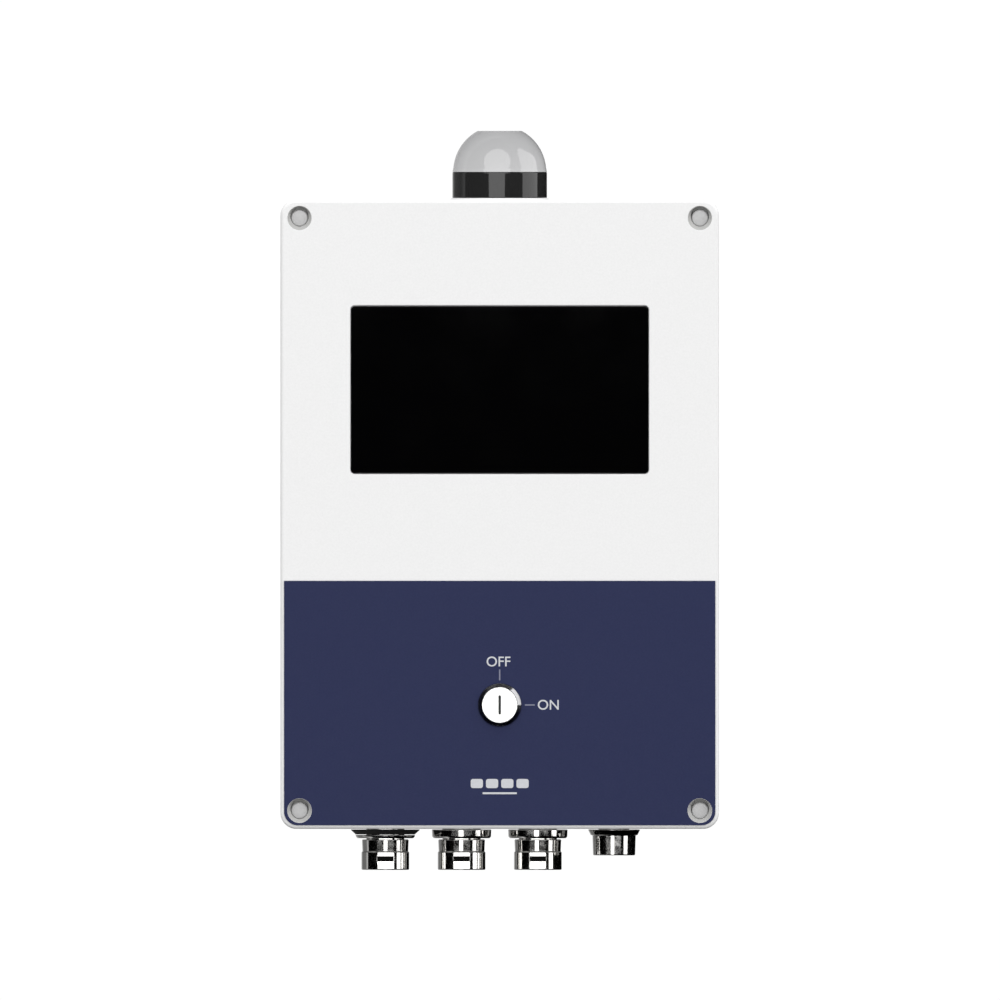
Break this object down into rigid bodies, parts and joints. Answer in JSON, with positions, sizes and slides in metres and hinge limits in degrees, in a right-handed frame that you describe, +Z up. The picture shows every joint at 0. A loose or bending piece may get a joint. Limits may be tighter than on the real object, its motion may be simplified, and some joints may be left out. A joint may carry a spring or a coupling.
{
  "type": "string inverter",
  "caption": "Wall-mounted string inverter box with a display window, key switch, domed signal beacon, round bottom connectors and a finned heat sink on a hook bracket.",
  "frame": {"origin": "on the wall plane, at the middle of the enclosure's height and width, on the wall bracket's flat back face", "axes": "+Z up, +Y into the wall, -Y is the front with the display, +X to the right seen from the front"},
  "size_m": [0.23, 0.1478, 0.3876],
  "materials": {
    "zinc_steel": "zinc plated, satin",
    "screw_steel": "zinc plated, satin",
    "aluminium": "extruded, satin",
    "powder_coat": "fine textured light grey powder coat",
    "overlay_blue": "navy satin foil",
    "black_glass": "gloss black",
    "rubber": "matt black",
    "light_plastic": "off-white moulded",
    "circuit_board": "green solder resist",
    "wire_grey": "grey sheath",
    "black_gloss": "black, glossy",
    "black_plastic": "black moulded",
    "bright_nickel": "bright nickel plate",
    "smoke_dome": "clouded translucent grey",
    "capacitor_sleeve": "dark blue sleeve",
    "copper": "enamelled copper winding",
    "relay_plastic": "blue moulded"
  },
  "bodies": {
    "inverter": {"wall_bracket": "zinc_steel", "bracket_screw_left": "screw_steel", "bracket_screw_right": "screw_steel", "heat_sink": "aluminium", "base_casting": "powder_coat", "lid_casting": "powder_coat", "lid_gasket": "rubber", "lid_screw_top_left": "screw_steel", "lid_screw_top_right": "screw_steel", "lid_screw_bottom_left": "screw_steel", "lid_screw_bottom_right": "screw_steel", "lower_overlay": "overlay_blue", "display_window": "black_glass", "display_gasket": "rubber", "display_module": "light_plastic", "display_board": "circuit_board", "control_board": "circuit_board", "control_ribbon": "wire_grey", "key_housing": "black_gloss", "key_nut": "screw_steel", "contact_block": "black_plastic", "beacon_base": "black_gloss", "beacon_dome": "smoke_dome", "beacon_gasket": "rubber", "beacon_nut": "screw_steel", "beacon_led_board": "circuit_board", "beacon_light_guide": "light_plastic", "power_board": "circuit_board", "power_module": "black_plastic", "link_capacitor_1": "capacitor_sleeve", "link_capacitor_2": "capacitor_sleeve", "link_capacitor_3": "capacitor_sleeve", "boost_inductor_1": "copper", "boost_inductor_2": "copper", "output_choke": "copper", "grid_relay_1": "relay_plastic", "grid_relay_2": "relay_plastic", "input_terminal_block": "light_plastic", "output_terminal_block": "light_plastic", "input_cable_1": "wire_grey", "input_cable_2": "wire_grey", "output_cable": "wire_grey", "signal_connector_shell": "bright_nickel", "signal_connector_insert": "black_plastic", "signal_connector_nut": "screw_steel", "power_connector_1_seal": "rubber", "power_connector_1_shell": "bright_nickel", "power_connector_1_insert": "black_plastic", "power_connector_1_nut": "screw_steel", "power_connector_2_shell": "bright_nickel", "power_connector_2_insert": "black_plastic", "power_connector_2_nut": "screw_steel", "power_connector_3_shell": "bright_nickel", "power_connector_3_insert": "black_plastic", "power_connector_3_nut": "screw_steel"},
    "key": {"key_rotor": "bright_nickel"},
    "plunger": {"contact_plunger": "light_plastic"},
    "ring_1": {"power_connector_1_ring": "bright_nickel"},
    "ring_2": {"power_connector_2_ring": "bright_nickel"},
    "ring_3": {"power_connector_3_ring": "bright_nickel"}
  },
  "joints": [
    {"name": "key_turn", "type": "hinge", "parent": "inverter", "child": "key", "pos_m": [0, -0.1478, -0.1], "axis": [0, 1, 0], "range_deg": [0, 90]},
    {"name": "contact_push", "type": "slide", "parent": "inverter", "child": "plunger", "axis": [1, 0, 0], "range_m": [0, 0.0025]},
    {"name": "ring_1_turn", "type": "hinge", "parent": "inverter", "child": "ring_1", "pos_m": [-0.06, -0.0893, -0.178], "axis": [0, 0, 1], "range_deg": [0, 60]},
    {"name": "ring_2_turn", "type": "hinge", "parent": "inverter", "child": "ring_2", "pos_m": [-0.02, -0.0893, -0.178], "axis": [0, 0, 1], "range_deg": [0, 60]},
    {"name": "ring_3_turn", "type": "hinge", "parent": "inverter", "child": "ring_3", "pos_m": [0.02, -0.0893, -0.178], "axis": [0, 0, 1], "range_deg": [0, 60]}
  ],
  "couplings": [
    {"joint": "contact_push", "follows": "key_turn", "m_per_rad": 0.0015915}
  ]
}
